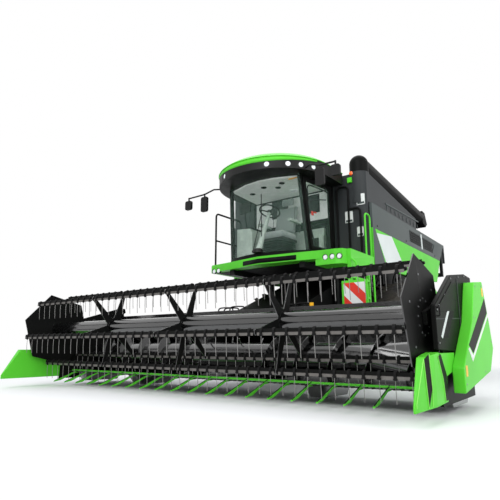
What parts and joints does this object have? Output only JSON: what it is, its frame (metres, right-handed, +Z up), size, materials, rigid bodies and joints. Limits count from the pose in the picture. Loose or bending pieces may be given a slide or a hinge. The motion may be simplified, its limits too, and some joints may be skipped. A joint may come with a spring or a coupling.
{
  "type": "combine harvester",
  "caption": "Self-propelled combine harvester with a wide grain header, finger reel, glazed cab, grain tank and swinging unloading auger.",
  "frame": {"origin": "ground level below the middle of the machine's length and width", "axes": "+X to the machine's own left, +Y to its rear, +Z up"},
  "size_m": [6.5953, 10.6, 3.9636],
  "materials": {
    "green_paint": "gloss paint",
    "black_paint": "satin paint",
    "grey_paint": "satin paint",
    "rim_paint": "gloss paint",
    "frame_paint": "satin paint",
    "worn_steel": "satin",
    "galvanised": "matt",
    "cast": "rough",
    "chrome_rod": "polished",
    "tyre_rubber": "matt",
    "black_plastic": "matt",
    "lamp_lens": "gloss",
    "seat_cloth": "woven",
    "tinted_glass": "clear"
  },
  "bodies": {
    "machine": {"main_frame": "frame_paint", "front_axle": "cast", "rear_axle": "cast", "separator_housing": "galvanised", "straw_hood": "green_paint", "straw_chopper": "black_paint", "grain_tank": "grey_paint", "engine_block": "cast", "engine_hood": "grey_paint", "cab_frame": "black_paint", "cab_glass": "tinted_glass", "roof_visor": "black_plastic", "cab_roof": "green_paint", "lamps": "lamp_lens", "seat": "seat_cloth", "steering_column": "black_plastic", "platform": "green_paint", "railings": "black_paint", "mirrors": "black_plastic", "ladder": "green_paint", "side_drives": "cast"},
    "header": {"feeder_house": "green_paint", "header_frame": "black_paint", "header_trough": "black_paint", "cutter_bar": "green_paint", "crop_dividers": "green_paint", "drive_guard": "black_plastic"},
    "front_wheel_left": {"front_tyre_left": "tyre_rubber", "front_rim_left": "rim_paint"},
    "front_wheel_right": {"front_tyre_right": "tyre_rubber", "front_rim_right": "rim_paint"},
    "knuckle_left": {"knuckle_left": "cast"},
    "knuckle_right": {"knuckle_right": "cast"},
    "rear_wheel_left": {"rear_tyre_left": "tyre_rubber", "rear_rim_left": "rim_paint"},
    "rear_wheel_right": {"rear_tyre_right": "tyre_rubber", "rear_rim_right": "rim_paint"},
    "drive_cover": {"drive_cover": "green_paint"},
    "header_auger": {"header_auger": "black_paint"},
    "reel_arms": {"reel_arms": "black_paint"},
    "reel": {"reel": "black_paint"},
    "unloading_auger": {"unloading_auger": "black_paint"},
    "cab_door": {"cab_door": "black_paint", "cab_door_glass": "tinted_glass"},
    "side_door_left": {"side_door_left_lower": "green_paint", "side_door_left_upper": "grey_paint"},
    "side_door_right": {"side_door_right_lower": "green_paint", "side_door_right_upper": "grey_paint"},
    "tank_cover_left": {"tank_cover_left": "grey_paint"},
    "tank_cover_right": {"tank_cover_right": "grey_paint"},
    "lift_barrels": {"lift_cylinder_barrels": "black_paint"},
    "lift_rods": {"lift_cylinder_rods": "chrome_rod"},
    "reel_barrels": {"reel_cylinder_barrels": "black_paint"},
    "reel_rods": {"reel_cylinder_rods": "chrome_rod"},
    "bat_1": {"reel_bat_1": "galvanised"},
    "bat_2": {"reel_bat_2": "galvanised"},
    "bat_3": {"reel_bat_3": "galvanised"},
    "bat_4": {"reel_bat_4": "galvanised"},
    "bat_5": {"reel_bat_5": "galvanised"},
    "bat_6": {"reel_bat_6": "galvanised"}
  },
  "joints": [
    {"name": "front_wheel_left", "type": "hinge", "parent": "machine", "child": "front_wheel_left", "pos_m": [1.25, -0.35, 0.9], "axis": [1, 0, 0], "continuous": true},
    {"name": "front_wheel_right", "type": "hinge", "parent": "machine", "child": "front_wheel_right", "pos_m": [-1.25, -0.35, 0.9], "axis": [1, 0, 0], "continuous": true},
    {"name": "steer_left", "type": "hinge", "parent": "machine", "child": "knuckle_left", "pos_m": [1, 3.4, 0.59], "axis": [0, 0, 1], "range_deg": [-35, 35]},
    {"name": "rear_wheel_left", "type": "hinge", "parent": "knuckle_left", "child": "rear_wheel_left", "pos_m": [1.25, 3.4, 0.59], "axis": [1, 0, 0], "continuous": true},
    {"name": "steer_right", "type": "hinge", "parent": "machine", "child": "knuckle_right", "pos_m": [-1, 3.4, 0.59], "axis": [0, 0, 1], "range_deg": [-35, 35]},
    {"name": "rear_wheel_right", "type": "hinge", "parent": "knuckle_right", "child": "rear_wheel_right", "pos_m": [-1.25, 3.4, 0.59], "axis": [1, 0, 0], "continuous": true},
    {"name": "header_lift", "type": "hinge", "parent": "machine", "child": "header", "pos_m": [0, -1, 1.55], "axis": [-1, 0, 0], "range_deg": [0, 16]},
    {"name": "drive_cover", "type": "hinge", "parent": "header", "child": "drive_cover", "pos_m": [3.19, -3.2, 1.39], "axis": [0, -1, 0], "range_deg": [0, 85]},
    {"name": "header_auger_spin", "type": "hinge", "parent": "header", "child": "header_auger", "pos_m": [0, -3.52, 0.5], "axis": [1, 0, 0], "continuous": true},
    {"name": "reel_lift", "type": "hinge", "parent": "header", "child": "reel_arms", "pos_m": [0, -3.12, 1.3], "axis": [-1, 0, 0], "range_deg": [0, 30]},
    {"name": "reel_spin", "type": "hinge", "parent": "reel_arms", "child": "reel", "pos_m": [0, -4.478, 0.919], "axis": [1, 0, 0], "continuous": true},
    {"name": "bat_1_turn", "type": "hinge", "parent": "reel", "child": "bat_1", "pos_m": [0, -5.01898, 0.79062], "axis": [1, 0, 0], "continuous": true},
    {"name": "bat_2_turn", "type": "hinge", "parent": "reel", "child": "bat_2", "pos_m": [0, -4.85967, 1.32331], "axis": [1, 0, 0], "continuous": true},
    {"name": "bat_3_turn", "type": "hinge", "parent": "reel", "child": "bat_3", "pos_m": [0, -4.31869, 1.45169], "axis": [1, 0, 0], "continuous": true},
    {"name": "bat_4_turn", "type": "hinge", "parent": "reel", "child": "bat_4", "pos_m": [0, -3.93702, 1.04738], "axis": [1, 0, 0], "continuous": true},
    {"name": "bat_5_turn", "type": "hinge", "parent": "reel", "child": "bat_5", "pos_m": [0, -4.09633, 0.51469], "axis": [1, 0, 0], "continuous": true},
    {"name": "bat_6_turn", "type": "hinge", "parent": "reel", "child": "bat_6", "pos_m": [0, -4.63731, 0.38631], "axis": [1, 0, 0], "continuous": true},
    {"name": "unloading_swing", "type": "hinge", "parent": "machine", "child": "unloading_auger", "pos_m": [1.25, -1.55, 3.8], "axis": [0, 0, -1], "range_deg": [0, 100]},
    {"name": "cab_door", "type": "hinge", "parent": "machine", "child": "cab_door", "pos_m": [0.85, -1.849, 2.8], "axis": [0, 0, 1], "range_deg": [0, 70]},
    {"name": "side_door_left", "type": "hinge", "parent": "machine", "child": "side_door_left", "pos_m": [1.45, 0.5, 3.045], "axis": [0, -1, 0], "range_deg": [0, 85]},
    {"name": "side_door_right", "type": "hinge", "parent": "machine", "child": "side_door_right", "pos_m": [-1.45, 0.5, 3.045], "axis": [0, 1, 0], "range_deg": [0, 85]},
    {"name": "tank_cover_right", "type": "hinge", "parent": "machine", "child": "tank_cover_right", "pos_m": [-1.415, -0.4, 3.4725], "axis": [0, -0.9943, 0.1071], "range_deg": [0, 80]},
    {"name": "tank_cover_left", "type": "hinge", "parent": "machine", "child": "tank_cover_left", "pos_m": [0.98, -0.4, 3.4725], "axis": [0, 0.9943, -0.1071], "range_deg": [0, 80]},
    {"name": "lift_barrel_turn", "type": "hinge", "parent": "machine", "child": "lift_barrels", "pos_m": [0, -0.55, 0.62], "axis": [-1, 0, 0], "range_deg": [0, 12.49]},
    {"name": "lift_rod_slide", "type": "slide", "parent": "lift_barrels", "child": "lift_rods", "axis": [0, -0.9985, -0.0555], "range_m": [0, 0.2592]},
    {"name": "reel_barrel_turn", "type": "hinge", "parent": "header", "child": "reel_barrels", "pos_m": [0, -3.25, 0.93], "axis": [-1, 0, 0], "range_deg": [0, 28.21]},
    {"name": "reel_rod_slide", "type": "slide", "parent": "reel_barrels", "child": "reel_rods", "axis": [0, -0.9648, 0.2631], "range_m": [0, 0.2057]}
  ],
  "couplings": [
    {"joint": "steer_right", "follows": "steer_left", "ratio": 1},
    {"joint": "bat_1_turn", "follows": "reel_spin", "ratio": -1},
    {"joint": "bat_2_turn", "follows": "reel_spin", "ratio": -1},
    {"joint": "bat_3_turn", "follows": "reel_spin", "ratio": -1},
    {"joint": "bat_4_turn", "follows": "reel_spin", "ratio": -1},
    {"joint": "bat_5_turn", "follows": "reel_spin", "ratio": -1},
    {"joint": "bat_6_turn", "follows": "reel_spin", "ratio": -1},
    {"joint": "lift_barrel_turn", "follows": "header_lift", "ratio": 0.74962},
    {"joint": "lift_rod_slide", "follows": "header_lift", "m_per_rad": 0.91377},
    {"joint": "reel_barrel_turn", "follows": "reel_lift", "ratio": 0.92381},
    {"joint": "reel_rod_slide", "follows": "reel_lift", "m_per_rad": 0.38526}
  ]
}
